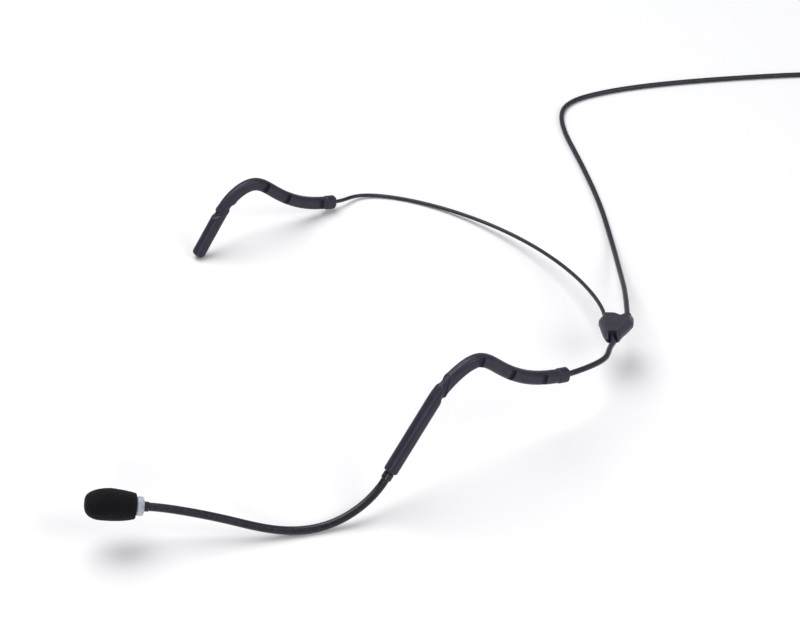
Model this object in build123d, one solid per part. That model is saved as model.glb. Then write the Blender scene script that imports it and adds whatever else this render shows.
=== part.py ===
from build123d import *
from math import cos, radians, sin
import os

# Headset microphone: two rubber ear hooks on a sprung neckband, a gooseneck boom on the
# wearer's left, a three-way junction behind the left ear and one thin cable to a plug.
# Millimetres. The pieces are drawn in the wearer's frame (+X to the wearer's left,
# -Y forward, +Z up, origin midway between the tops of the two ear hooks) and then put
# down on the surface the headset rests on, where +Z is up and z = 0 is the surface.

# ---- resting pose: wearer's frame to the frame the part is stored in ----
REST_TURN = -57.8
REST_ROLL = -7.69
REST_PITCH = -8.14
REST_X = -0.8
REST_Y = 14.3
REST_Z = 31.13

# ---- neckband and ear hooks ----
HOOK_HALF_SPACING = 75.0
HOOK_HEIGHT = 4.6
HOOK_WIDTH = 3.8
HOOK_CORNER = 1.6
SLEEVE_WIDTH = 4.35
SLEEVE_HEIGHT = 4.8
SLEEVE_CORNER = 2.0
WAIST_WIDTH = 3.2
WAIST_HEIGHT = 3.8
WAIST_CORNER = 1.4
HOOK_POINTS = [(32.0, -14.0), (17.0, -11.6), (3.9, -4.7), (-4.7, 0.0), (-13.8, -3.6)]
LEFT_FRONT = (-21.1, -11.0)
LEFT_FRONT_DIRECTION = (-0.557, -0.830)
RIGHT_FRONT = (-19.8, -11.2)
RIGHT_FRONT_DIRECTION = (-0.520, -0.854)
LEFT_WINDOWS = [(-4.8, 2.6), (8.2, 2.0), (21.4, 2.0)]
RIGHT_WINDOWS = [(1.2, 2.2), (10.6, 1.8), (25.2, 2.0)]
WINDOW_DEPTH = 0.9
CORE_RADIUS = 0.45
NECK_Z = -14.0
LEFT_NECK_RADIUS = 0.98
RIGHT_NECK_RADIUS = 0.70
LEFT_NECK_POINTS = [(75.0, 32.0), (75.0, 37.0), (72.5, 55.5), (70.5, 49.0)]
RIGHT_NECK_POINTS = [(-75.0, 32.0), (-75.0, 43.4), (-87.5, 41.0), (-54.6, 78.9), (-17.8, 87.6),
                     (29.6, 77.3)]
HINGE_GAP = 0.12

# ---- boom ----
HOLDER_LENGTH = 27.0
HOLDER_BORE = 1.66
LINER_WALL = 0.30
STEM_RADIUS = 1.28
BOOM_RADIUS = 1.38
BOOM_CORE_RADIUS = 0.95
COLLAR_RADIUS = 1.75
COLLAR_LENGTH = 2.6
BOOM_POINTS = [(75.3, -45.2, -42.4), (73.0, -58.8, -48.4), (67.7, -73.2, -48.6),
               (60.6, -86.5, -45.2), (53.8, -99.7, -41.8)]
BOOM_END = (49.46, -109.18, -40.03)
MIC_DIRECTION = (-0.385, -0.915, 0.118)
BEND_1 = 0.52
BEND_2 = 0.82

# ---- microphone head ----
TAIL_RADIUS = 1.62
TAIL_LENGTH = 4.8
RING_RADIUS = 3.05
RING_LENGTH = 1.6
CAPSULE_RADIUS = 2.45
CAPSULE_LENGTH = 9.0
FOAM_RADIUS = 5.15
FOAM_REAR_RADIUS = 3.6
FOAM_LENGTH = 16.2

# ---- three-way junction ----
JUNCTION_MOUTH = (63.4, 59.2)
JUNCTION_TURN = 151.0
JUNCTION_HALF_HEIGHT = 2.3
JUNCTION_OUTLINE = [(0.9, 2.2), (0.9, -2.0), (4.6, -3.8), (9.0, -6.6), (12.6, -8.7), (16.4, -9.2),
                    (18.4, -8.9), (18.5, -5.8), (17.0, -4.6), (18.7, -2.7), (18.7, 1.2), (14.2, 3.4),
                    (5.0, 2.9)]
JUNCTION_CORNER = 0.75
JUNCTION_BEVEL = 0.6
FAR_PORT = 0.6
CABLE_PORT = -6.9
CABLE_SPLAY = -6.0
PORT_END = 18.7
LEFT_HINGE = -0.3
RIGHT_HINGE = 21.1

# ---- cable: the points its route turns at, on the surface beyond the junction ----
CABLE_RADIUS = 0.95
COLLAR_WALL = 1.25
CABLE_ROUTE = [(88.63, 8.54, 13.68), (89.5, 24.5, 10.6), (89.1, 44.9, 5.2), (88.1, 67.0, 1.3),
               (85.2, 93.0, 1.0), (79.6, 119.5, 1.0), (72.5, 147.5, 1.0), (75.2, 162.9, 1.0),
               (93.7, 171.9, 1.0), (121.5, 178.5, 1.0), (161.8, 184.0, 1.0), (181.0, 185.0, 1.0),
               (191.0, 184.9, 3.0), (201.0, 184.4, 5.2)]
COIL_CENTRE = (201.0, 174.0)
COIL_RADIUS = 10.4
COIL_SECTION = 4.6
COIL_HEIGHT = 5.3
TIE_RADIUS = 5.25
TIE_WIDTH = 4.0
TAIL_ROUTE = [(211.4, 174.0, 5.3), (211.4, 166.5, 5.2), (212.2, 160.0, 4.8), (212.2, 152.5, 4.7)]

# ---- plug: three-contact 3.5 mm jack with a locking nut ----
PLUG_BASE = (212.2, 152.5, 4.7)
PLUG_RADIUS = 4.1
PLUG_PIN_RADIUS = 1.75
NUT_RADIUS = 4.6
PLUG_FIT = 0.06

REST = Location((REST_X, REST_Y, REST_Z)) * Rot(Z=REST_TURN) * Rot(Y=REST_ROLL) * Rot(X=REST_PITCH)


def hook_path(side, front, direction):
    """Centreline of one ear hook, from the rear end over the ear to the front."""
    x = side * HOOK_HALF_SPACING
    points = [(x, y, z) for y, z in HOOK_POINTS + [front]]
    return Spline(*points, tangents=[(0, -1, 0.05), (0, direction[0], direction[1])])


def section_plane(path, where):
    """Plane across a path, its x axis pointing to the wearer's left."""
    return Plane(origin=path @ where, x_dir=(1, 0, 0), z_dir=path % where)


def front_axis(side, front, direction):
    """Plane at the end of the hook's curve, looking down its straight front sleeve."""
    x = side * HOOK_HALF_SPACING
    return Plane(origin=(x, front[0], front[1]), x_dir=(1, 0, 0), z_dir=(0, direction[0], direction[1]))


def step_block(side, front, direction, offset, slant):
    """Half space in front of the slanted step between the ear grip and its front sleeve."""
    plane = front_axis(side, front, direction)
    slanted = Pos(0, 0, offset) * Rot(X=slant) * Pos(0, 0, 30) * Box(12, 90, 60)
    around = Pos(0, 0, 15) * Box(11, 16, 54)
    return plane * (slanted & around)


def ear_grip(side, front, direction, offset, slant, windows):
    path = hook_path(side, front, direction)
    profile = section_plane(path, 0) * RectangleRounded(HOOK_WIDTH, HOOK_HEIGHT, HOOK_CORNER)
    grip = sweep(profile, path=path)
    rear = section_plane(path, 0)
    bump = extrude(RectangleRounded(HOOK_WIDTH + 0.4, HOOK_HEIGHT + 0.4, HOOK_CORNER), 4.2)
    bump = chamfer(bump.faces().sort_by(Axis.Z)[0].edges(), 0.9)
    grip = grip + rear * bump
    grip = grip - step_block(side, front, direction, offset, slant)
    for along, width in windows:
        for face in (-1, 1):
            grip = grip - window_cutter(path, along, width, face)
    core = sweep(rear * Circle(CORE_RADIUS), path=path)
    return grip - core


def window_cutter(path, along, width, face):
    """Pocket in one flank of the grip, from its middle down to its lower edge."""
    steps = [path @ (0.005 * k) for k in range(201)]
    where = min(range(201), key=lambda k: abs(steps[k].Y - along)) * 0.005
    plane = section_plane(path, where)
    pocket = Pos(face * (HOOK_WIDTH / 2 - WINDOW_DEPTH / 2 + 0.5), 0, 0)
    pocket = pocket * Box(WINDOW_DEPTH + 1.0, 0.25 * HOOK_HEIGHT, width)
    drop = Pos(face * (HOOK_WIDTH / 2 - WINDOW_DEPTH / 2 + 0.5), -HOOK_HEIGHT * 0.33, 0)
    drop = drop * Box(WINDOW_DEPTH + 1.0, 0.55 * HOOK_HEIGHT, width)
    return plane * (pocket + drop)


def left_ear_grip():
    return ear_grip(1, LEFT_FRONT, LEFT_FRONT_DIRECTION, -3.2, -55, LEFT_WINDOWS)


def right_ear_grip():
    return ear_grip(-1, RIGHT_FRONT, RIGHT_FRONT_DIRECTION, -3.0, 55, RIGHT_WINDOWS)


def front_sleeve(side, front, direction, offset, slant, length, end_round):
    """Rubber sleeve that carries on from the ear grip's slanted end, with a narrow waist beside it."""
    path = hook_path(side, front, direction)
    profile = section_plane(path, 0) * RectangleRounded(WAIST_WIDTH, WAIST_HEIGHT, WAIST_CORNER)
    curved = sweep(profile, path=path)
    plane = front_axis(side, front, direction)
    straight = extrude(RectangleRounded(SLEEVE_WIDTH, SLEEVE_HEIGHT, SLEEVE_CORNER), length)
    straight = fillet(straight.faces().sort_by(Axis.Z)[-1].edges(), end_round)
    whole = plane * straight + curved
    return whole & step_block(side, front, direction, offset, slant)


def left_boom_holder():
    sleeve = front_sleeve(1, LEFT_FRONT, LEFT_FRONT_DIRECTION, -3.2, -55, HOLDER_LENGTH, 0.9)
    bore = Pos(0, 0, 4.0) * Cylinder(HOLDER_BORE, HOLDER_LENGTH, align=(Align.CENTER, Align.CENTER, Align.MIN))
    plane = front_axis(1, LEFT_FRONT, LEFT_FRONT_DIRECTION)
    core = extended_core(1, LEFT_FRONT, LEFT_FRONT_DIRECTION, 3.2)
    return sleeve - plane * bore - core


def right_tip_sleeve():
    sleeve = front_sleeve(-1, RIGHT_FRONT, RIGHT_FRONT_DIRECTION, -3.0, 55, 15.6, 1.6)
    return sleeve - extended_core(-1, RIGHT_FRONT, RIGHT_FRONT_DIRECTION, 11.0)


def extended_core(side, front, direction, reach):
    """Sprung steel core through the grip, running on into the front sleeve."""
    path = hook_path(side, front, direction)
    curved = sweep(section_plane(path, 0) * Circle(CORE_RADIUS), path=path)
    plane = front_axis(side, front, direction)
    straight = Cylinder(CORE_RADIUS, reach, align=(Align.CENTER, Align.CENTER, Align.MIN))
    return curved + plane * straight


def neck_path(points, hinge):
    """Centreline of one half of the neckband, a Bezier curve from the ear grip to its hinge point."""
    return Bezier(*[(x, y, NECK_Z) for x, y in points + [(hinge.X, hinge.Y)]])


def junction_frame():
    """Junction's own plane: origin at the near mouth, x along the wires, z up."""
    return Plane(origin=(JUNCTION_MOUTH[0], JUNCTION_MOUTH[1], NECK_Z),
                 x_dir=(cos(radians(JUNCTION_TURN)), sin(radians(JUNCTION_TURN)), 0), z_dir=(0, 0, 1))


def left_hinge_point():
    return junction_frame().from_local_coords((LEFT_HINGE, 0, 0))


def right_hinge_point():
    return junction_frame().from_local_coords((RIGHT_HINGE, FAR_PORT, 0))


def left_neck_path():
    return neck_path(LEFT_NECK_POINTS, left_hinge_point())


def right_neck_path():
    return neck_path(RIGHT_NECK_POINTS, right_hinge_point())


def jacket(path, radius):
    """Plastic tube over the neckband's steel wire, with a round end at its hinge point."""
    start = Plane(origin=path @ 0, z_dir=path % 0)
    tube = sweep(start * Circle(radius), path=path) + Pos(path @ 1) * Sphere(radius)
    bore = sweep(start * Circle(CORE_RADIUS), path=path)
    return tube - bore


def left_neck_jacket():
    return jacket(left_neck_path(), LEFT_NECK_RADIUS)


def right_neck_jacket():
    return jacket(right_neck_path(), RIGHT_NECK_RADIUS)


def neck_core(path):
    start = Plane(origin=path @ 0, z_dir=path % 0)
    return sweep(start * Circle(CORE_RADIUS), path=path)


def left_spring_wire():
    return neck_core(left_neck_path()) + extended_core(1, LEFT_FRONT, LEFT_FRONT_DIRECTION, 3.2)


def right_spring_wire():
    return neck_core(right_neck_path()) + extended_core(-1, RIGHT_FRONT, RIGHT_FRONT_DIRECTION, 11.0)


def left_wire_ferrule():
    """Short sleeve fixed in the junction's mouth, where the left half of the band starts."""
    stop = LEFT_HINGE + LEFT_NECK_RADIUS + HINGE_GAP
    tube = Cylinder(LEFT_NECK_RADIUS, 7.0 - stop, align=(Align.CENTER, Align.CENTER, Align.MIN))
    return junction_frame() * (Pos(stop, 0, 0) * Rot(Y=90) * tube)


def right_wire_ferrule():
    stop = RIGHT_HINGE - RIGHT_NECK_RADIUS - HINGE_GAP
    tube = Cylinder(RIGHT_NECK_RADIUS, stop - PORT_END + 3.0, align=(Align.CENTER, Align.CENTER, Align.MIN))
    return junction_frame() * (Pos(PORT_END - 3.0, FAR_PORT, 0) * Rot(Y=90) * tube)


def junction_outline():
    corners = [(x, y) for x, y in JUNCTION_OUTLINE]
    face = make_face(Polyline(*corners, close=True))
    return fillet(face.vertices(), JUNCTION_CORNER)


def junction_half(top):
    """One half of the moulded junction case, bevelled all round its outer face."""
    half = extrude(junction_outline(), JUNCTION_HALF_HEIGHT)
    outer = half.faces().sort_by(Axis.Z)[-1]
    half = chamfer(outer.edges(), JUNCTION_BEVEL)
    if not top:
        half = mirror(half, about=Plane.XY)
    recess = Pos(1.6, 0, 0.85) * Box(5.2, 3.0, 4.3)
    left_hole = Rot(Y=90) * Cylinder(LEFT_NECK_RADIUS, 14)
    far_hole = Pos(PORT_END, FAR_PORT, 0) * Rot(Y=90) * Cylinder(RIGHT_NECK_RADIUS, 6)
    cable_hole = cable_port() * Cylinder(COLLAR_WALL, 10, align=(Align.CENTER, Align.CENTER, Align.MIN))
    return half - recess - left_hole - far_hole - cable_hole - screw_space()


def junction_cover():
    return junction_frame() * junction_half(True)


def junction_base():
    return junction_frame() * junction_half(False)


def screw_shape(grow):
    """Countersunk screw that closes the case from below."""
    shank = Cylinder(0.45 + grow, 3.4 + grow, align=(Align.CENTER, Align.CENTER, Align.MIN))
    head = Cone(0.9 + grow, 0.45 + grow, 0.7, align=(Align.CENTER, Align.CENTER, Align.MIN))
    return shank + head


def screw_space():
    return Pos(10.6, -2.6, -JUNCTION_HALF_HEIGHT) * screw_shape(0)


def junction_screw():
    return junction_frame() * (Pos(10.6, -2.6, -JUNCTION_HALF_HEIGHT) * screw_shape(0))


def cable_port():
    """Place in the junction where the cable's collar starts, looking out along the cable."""
    return Pos(PORT_END - 4.0, CABLE_PORT, 0) * Rot(Z=CABLE_SPLAY) * Rot(Y=90)


def cable_collar():
    """Moulded strain relief between the junction and the cable."""
    tube = Cylinder(COLLAR_WALL, 4.6, align=(Align.CENTER, Align.CENTER, Align.MIN))
    lip = Pos(0, 0, 4.0) * Cylinder(COLLAR_WALL + 0.25, 1.1, align=(Align.CENTER, Align.CENTER, Align.MIN))
    return junction_frame() * (cable_port() * (tube + lip))


def holder_liner():
    """Metal tube in the holder that the boom's stem turns in."""
    outer = Cylinder(HOLDER_BORE, HOLDER_LENGTH - 4.0, align=(Align.CENTER, Align.CENTER, Align.MIN))
    inner = Cylinder(HOLDER_BORE - LINER_WALL, HOLDER_LENGTH, align=(Align.CENTER, Align.CENTER, Align.MIN))
    return front_axis(1, LEFT_FRONT, LEFT_FRONT_DIRECTION) * (Pos(0, 0, 4.0) * (outer - Pos(0, 0, 0.5) * inner))


def boom_stem():
    """Straight end of the boom, a running fit in the holder's liner."""
    stem = Cylinder(STEM_RADIUS, HOLDER_LENGTH - 4.7, align=(Align.CENTER, Align.CENTER, Align.MIN))
    return front_axis(1, LEFT_FRONT, LEFT_FRONT_DIRECTION) * (Pos(0, 0, 4.8) * stem)


def boom_collar():
    ring = Cylinder(COLLAR_RADIUS, COLLAR_LENGTH, align=(Align.CENTER, Align.CENTER, Align.MIN))
    ring = chamfer(ring.edges(), 0.3)
    return front_axis(1, LEFT_FRONT, LEFT_FRONT_DIRECTION) * (Pos(0, 0, HOLDER_LENGTH + 0.1) * ring)


def boom_path():
    start = front_axis(1, LEFT_FRONT, LEFT_FRONT_DIRECTION).from_local_coords((0, 0, HOLDER_LENGTH + 2.7))
    direction = (0, LEFT_FRONT_DIRECTION[0], LEFT_FRONT_DIRECTION[1])
    return Spline(start, *BOOM_POINTS, BOOM_END, tangents=[direction, MIC_DIRECTION])


def boom_piece(start, end, outer, inner):
    """Stretch of the boom, round-nosed where it starts at a bend."""
    path = boom_path().trim(start, end)
    plane = Plane(origin=path @ 0, z_dir=path % 0)
    solid = sweep(plane * Circle(outer), path=path)
    if start > 0 and inner > 0:
        solid = solid + Pos(path @ 0) * Sphere(outer)
    if inner > 0:
        solid = solid - sweep(plane * Circle(inner), path=path)
    return solid


def bend_gap():
    """Share of the boom's length left free before each bend."""
    return (BOOM_RADIUS + HINGE_GAP) / boom_path().length


def boom_jacket_1():
    return boom_piece(0, BEND_1 - bend_gap(), BOOM_RADIUS, BOOM_CORE_RADIUS)


def boom_jacket_2():
    return boom_piece(BEND_1, BEND_2 - bend_gap(), BOOM_RADIUS, BOOM_CORE_RADIUS)


def boom_jacket_3():
    return boom_piece(BEND_2, 1, BOOM_RADIUS, BOOM_CORE_RADIUS)


def boom_core_1():
    return boom_piece(0, BEND_1 - bend_gap(), BOOM_CORE_RADIUS, 0)


def boom_core_2():
    return boom_piece(BEND_1, BEND_2 - bend_gap(), BOOM_CORE_RADIUS, 0)


def boom_core_3():
    return boom_piece(BEND_2, 1, BOOM_CORE_RADIUS, 0)


def mic_frame():
    """Plane at the boom's end, looking along the microphone head."""
    return Plane(origin=BOOM_END, z_dir=MIC_DIRECTION)


def turned(outline, frame):
    """Solid of revolution about a frame's z axis, from (radius, height) corners."""
    face = make_face(Polyline(*[(r, 0, z) for r, z in outline], close=True))
    return frame * revolve(face, axis=Axis.Z)


def mic_tail_sleeve():
    outline = [(0, 0), (TAIL_RADIUS - 0.15, 0), (TAIL_RADIUS, 0.3), (TAIL_RADIUS, TAIL_LENGTH), (0, TAIL_LENGTH)]
    return turned(outline, mic_frame())


def drip_ring():
    """Clear silicone ring on the tail sleeve, behind the windscreen."""
    low = TAIL_LENGTH - 2.4
    high = low + RING_LENGTH
    outline = [(TAIL_RADIUS, low), (RING_RADIUS - 0.5, low), (RING_RADIUS, low + 0.5),
               (RING_RADIUS, high - 0.4), (RING_RADIUS - 0.4, high), (TAIL_RADIUS, high)]
    return turned(outline, mic_frame())


def capsule_housing():
    low = TAIL_LENGTH
    high = low + CAPSULE_LENGTH
    inner = CAPSULE_RADIUS - 0.35
    outline = [(0, low), (TAIL_RADIUS + 0.2, low), (CAPSULE_RADIUS, low + 1.2), (CAPSULE_RADIUS, high),
               (inner, high), (inner, low + 2.4), (0, low + 2.4)]
    return turned(outline, mic_frame())


def electret_capsule():
    low = TAIL_LENGTH + 3.2
    radius = CAPSULE_RADIUS - 0.4
    return turned([(0, low), (radius, low), (radius, low + 4.2), (0, low + 4.2)], mic_frame())


def capsule_gasket():
    low = TAIL_LENGTH + 2.45
    radius = CAPSULE_RADIUS - 0.4
    return turned([(1.0, low), (radius, low), (radius, low + 0.7), (1.0, low + 0.7)], mic_frame())


def capsule_grille():
    """Perforated cap over the front of the capsule."""
    low = TAIL_LENGTH + CAPSULE_LENGTH - 0.9
    disc = Pos(0, 0, low) * Cylinder(CAPSULE_RADIUS - 0.38, 0.5, align=(Align.CENTER, Align.CENTER, Align.MIN))
    hole = Pos(0, 0, low) * Cylinder(0.28, 3)
    ring = [Rot(Z=60 * k) * Pos(1.15, 0, 0) * hole for k in range(6)]
    return mic_frame() * (disc - hole - Compound(children=ring))


def foam_windscreen():
    """Foam cover: blunt rounded nose, widest near the front, tapering to the rear."""
    low = TAIL_LENGTH - 0.7
    high = low + FOAM_LENGTH
    bore = CAPSULE_RADIUS + 0.12
    end = TAIL_LENGTH + CAPSULE_LENGTH + 0.15
    line = Spline((FOAM_REAR_RADIUS + 0.35, 0, low + 0.5), (4.65, 0, low + 5.2), (FOAM_RADIUS, 0, low + 10.2),
                  (4.55, 0, high - 2.6), (2.6, 0, high - 0.5), (0, 0, high), tangents=[(0.2, 0, 1), (-1, 0, 0)])
    rest = Polyline((0, 0, high), (0, 0, end), (bore, 0, end), (bore, 0, low), (FOAM_REAR_RADIUS, 0, low),
                    (FOAM_REAR_RADIUS + 0.35, 0, low + 0.5))
    return mic_frame() * revolve(make_face(Curve() + [line, rest]), axis=Axis.Z)


def rounded_route(points):
    """Straight runs joined by tangent arcs, each as round as its shorter run allows."""
    radii = []
    for before, corner, after in zip(points, points[1:], points[2:]):
        into = Vector(*corner) - Vector(*before)
        out = Vector(*after) - Vector(*corner)
        turn = radians(into.get_angle(out))
        radii.append(0.45 * min(into.length, out.length) / (sin(turn / 2) / cos(turn / 2)))
    print("route radii", [round(r, 1) for r in radii])
    return FilletPolyline(*points, radius=radii)


def tube_along(points, radius):
    path = rounded_route(points)
    print("route length", round(path.length, 1))
    return sweep(Plane(origin=path @ 0, z_dir=path % 0) * Circle(radius), path=path)


def cable():
    return tube_along(CABLE_ROUTE, CABLE_RADIUS)


def cable_tail():
    return tube_along(TAIL_ROUTE, CABLE_RADIUS)


def cable_coil():
    return Pos(COIL_CENTRE[0], COIL_CENTRE[1], COIL_HEIGHT) * Torus(COIL_RADIUS, COIL_SECTION)


def coil_tie():
    """Strap round the coil's turns."""
    band = Cylinder(TIE_RADIUS, TIE_WIDTH) - Cylinder(COIL_SECTION + 0.05, TIE_WIDTH)
    coil = Pos(COIL_CENTRE[0], COIL_CENTRE[1], COIL_HEIGHT)
    hank = Torus(COIL_RADIUS, COIL_SECTION)
    return coil * (Pos(0, -COIL_RADIUS, 0) * Rot(Y=90) * band - hank)


def plug_frame():
    """Plane at the plug's cable end, looking to its tip."""
    return Plane(origin=PLUG_BASE, x_dir=(1, 0, 0), z_dir=(0, -1, 0))


def plug_boot():
    """Flexible strain relief, its bore filled by the cable."""
    body = turned([(0, -7.0), (1.55, -7.0), (2.4, 2.0), (2.4, 3.0), (0, 3.0)], plug_frame())
    return body - cable_tail()


def plug_barrel():
    outline = [(0, 3.0), (3.2, 3.0), (PLUG_RADIUS, 4.0), (PLUG_RADIUS, 14.0), (2.9, 14.0), (2.9, 20.0),
               (3.5, 20.0), (3.5, 21.0), (0, 21.0)]
    return turned(outline, plug_frame())


def locking_nut():
    """Captive knurled nut that turns freely on the plug's neck."""
    bore = 2.9 + PLUG_FIT
    outline = [(bore, 14.1), (NUT_RADIUS, 14.1), (NUT_RADIUS, 23.5), (NUT_RADIUS - 0.5, 24.5), (3.75, 24.5),
               (3.75, 19.8), (bore, 19.8)]
    body = turned(outline, plug_frame())
    groove = Pos(NUT_RADIUS, 0, 18.6) * Box(0.35, 0.5, 7.5)
    grooves = [Rot(Z=15 * k) * groove for k in range(24)]
    return body - plug_frame() * Compound(children=grooves)


def contact(low, high, radius):
    return turned([(0, low), (radius, low), (radius, high), (0, high)], plug_frame())


def plug_sleeve_contact():
    return contact(21.0, 28.6, PLUG_PIN_RADIUS)


def plug_insulator_1():
    return contact(28.6, 29.3, PLUG_PIN_RADIUS)


def plug_ring_contact():
    return contact(29.3, 31.3, PLUG_PIN_RADIUS)


def plug_insulator_2():
    return contact(31.3, 32.0, PLUG_PIN_RADIUS)


def plug_tip_contact():
    outline = [(0, 32.0), (1.3, 32.0), (1.7, 33.0), (1.7, 33.6), (0.6, 35.4), (0, 35.4)]
    return turned(outline, plug_frame())


WORN_PIECES = [left_ear_grip, left_boom_holder, left_spring_wire, left_neck_jacket,
               right_ear_grip, right_tip_sleeve, right_spring_wire, right_neck_jacket,
               junction_cover, junction_base, junction_screw, left_wire_ferrule, right_wire_ferrule, cable_collar,
               holder_liner, boom_stem, boom_collar, boom_jacket_1, boom_jacket_2, boom_jacket_3,
               boom_core_1, boom_core_2, boom_core_3, mic_tail_sleeve, drip_ring, capsule_housing,
               electret_capsule, capsule_gasket, capsule_grille, foam_windscreen]
SURFACE_PIECES = [cable, cable_coil, cable_tail, coil_tie, plug_boot, plug_barrel, locking_nut,
                  plug_sleeve_contact, plug_insulator_1, plug_ring_contact, plug_insulator_2, plug_tip_contact]


def main():
    os.makedirs("parts", exist_ok=True)
    for piece in WORN_PIECES:
        export_step(REST * piece(), os.path.join("parts", piece.__name__ + ".step"))
    for piece in SURFACE_PIECES:
        export_step(piece(), os.path.join("parts", piece.__name__ + ".step"))


if __name__ == "__main__":
    main()
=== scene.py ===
import math

import bmesh
import bpy
import numpy as np
from mathutils import Matrix, Vector


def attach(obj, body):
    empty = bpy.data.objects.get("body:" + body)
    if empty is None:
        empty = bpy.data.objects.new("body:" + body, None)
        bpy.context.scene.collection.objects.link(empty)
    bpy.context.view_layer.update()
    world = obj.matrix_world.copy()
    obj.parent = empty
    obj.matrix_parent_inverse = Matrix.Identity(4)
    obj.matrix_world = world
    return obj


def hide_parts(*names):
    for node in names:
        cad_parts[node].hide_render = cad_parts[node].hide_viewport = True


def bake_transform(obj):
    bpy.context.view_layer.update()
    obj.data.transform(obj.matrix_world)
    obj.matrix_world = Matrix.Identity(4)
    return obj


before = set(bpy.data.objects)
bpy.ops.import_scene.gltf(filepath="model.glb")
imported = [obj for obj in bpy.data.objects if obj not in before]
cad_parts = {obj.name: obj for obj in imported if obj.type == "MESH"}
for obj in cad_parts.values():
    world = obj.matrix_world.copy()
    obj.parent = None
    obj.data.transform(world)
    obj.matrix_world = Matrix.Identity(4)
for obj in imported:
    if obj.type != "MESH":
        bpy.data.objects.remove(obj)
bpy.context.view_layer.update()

# Headset microphone. Lengths are millimetres. The worn pieces are in the wearer's frame (+X wearer's
# left, -Y forward, +Z up) until at_rest() puts them down in the row frame, in metres. The cable, the
# strap round its coil and the plug's boot are in the row frame from the start.

MM = 0.001

# ---- resting pose ----
REST_PLACE = (-0.8, 14.3, 31.13)
REST_TURN = -57.8
REST_ROLL = -7.69
REST_PITCH = -8.14

# ---- ear hooks and neckband ----
HOOK_HALF_SPACING = 75.0
HOOK_POINTS = [(32.0, -14.0), (17.0, -11.6), (3.9, -4.7), (-4.7, 0.0), (-13.8, -3.6)]
HOOK_WIDTH = 3.8
HOOK_HEIGHT = 4.6
SLEEVE_WIDTH = 4.35
SLEEVE_HEIGHT = 4.8
WAIST_WIDTH = 3.2
WAIST_HEIGHT = 3.8
LEFT_FRONT = (-21.1, -11.0)
LEFT_FRONT_DIRECTION = (-0.557, -0.830)
RIGHT_FRONT = (-19.8, -11.2)
RIGHT_FRONT_DIRECTION = (-0.520, -0.854)
LEFT_WINDOWS = [(-4.8, 2.6), (8.2, 2.0), (21.4, 2.0)]
RIGHT_WINDOWS = [(-0.5, 2.2), (8.9, 1.8), (23.5, 2.0)]
WINDOW_FLOOR = 0.65
WINDOW_RIM = 2.2
GRIP_CORNER = 1.6
WAIST_CORNER = 1.4
SLEEVE_CORNER = 2.0
STEP_SLOPE = 1.428
LEFT_STEP = -5.8
RIGHT_STEP = -5.6
RIGHT_GRIP_START = 1.7
HOLDER_END_ROUND = 0.9
SLEEVE_TUCK = 0.9
COLLAR_FRONT = 2.7
SLEEVE_END_ROUND = 1.6
NECK_Z = -14.0
LEFT_NECK_RADIUS = 0.98
RIGHT_NECK_RADIUS = 0.70
LEFT_NECK_POINTS = [(75.0, 32.0), (75.0, 37.0), (72.5, 55.5), (70.5, 49.0)]
RIGHT_NECK_POINTS = [(-75.0, 32.0), (-75.0, 43.4), (-87.5, 41.0), (-54.6, 78.9), (-17.8, 87.6),
                     (29.6, 77.3)]

# ---- boom and microphone head ----
HOLDER_LENGTH = 27.0
RIGHT_SLEEVE_LENGTH = 15.6
BOOM_RADIUS = 1.38
BOOM_POINTS = [(75.3, -45.2, -42.4), (73.0, -58.8, -48.4), (67.7, -73.2, -48.6),
               (60.6, -86.5, -45.2), (53.8, -99.7, -41.8)]
BOOM_END = (49.46, -109.18, -40.03)
MIC_DIRECTION = (-0.385, -0.915, 0.118)
BEND_1 = 0.52
BEND_2 = 0.82
RIB_PITCH = 0.62
RIB_HEIGHT = 0.025
TAIL_LENGTH = 4.8
FOAM_LENGTH = 16.2
FOAM_BORE = 2.57
FOAM_TUCK = 0.7
CAPSULE_END = 9.15
RING_RADIUS = 3.1
RING_BORE = 1.64
RING_CORNER = 0.75
RING_REAR = 3.2
RING_FRONT = 0.76

# ---- junction ----
JUNCTION_MOUTH = (63.4, 59.2)
JUNCTION_TURN = 151.0
JUNCTION_OUTLINE = [(0.9, 2.2), (0.9, -2.0), (4.6, -3.8), (9.0, -6.6), (12.6, -8.7), (16.4, -9.2),
                    (18.4, -8.9), (18.5, -5.8), (17.0, -4.6), (18.7, -2.7), (18.7, 1.2), (14.2, 3.4),
                    (5.0, 2.9)]
JUNCTION_TOP = [(3.4, 1.3), (3.6, -1.5), (5.4, -3.0), (9.4, -5.1), (12.6, -6.6), (15.6, -7.2),
                (16.8, -6.9), (17.1, -5.6), (16.0, -4.4), (17.7, -2.5), (17.7, 0.8), (13.9, 2.1),
                (5.4, 1.5)]
JUNCTION_HALF_HEIGHT = 2.3
MOUTH_LOW = (-1.0, -1.5, -1.3)
MOUTH_HIGH = (4.2, 1.5, 3.2)
JUNCTION_ROUND = 0.75
FAR_PORT = 0.6
LEFT_WIRE_INSIDE = 6.6
RIGHT_WIRE_INSIDE = 2.6
LEFT_HINGE = -0.3
RIGHT_HINGE = 21.1
PORT_END = 18.7

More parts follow.
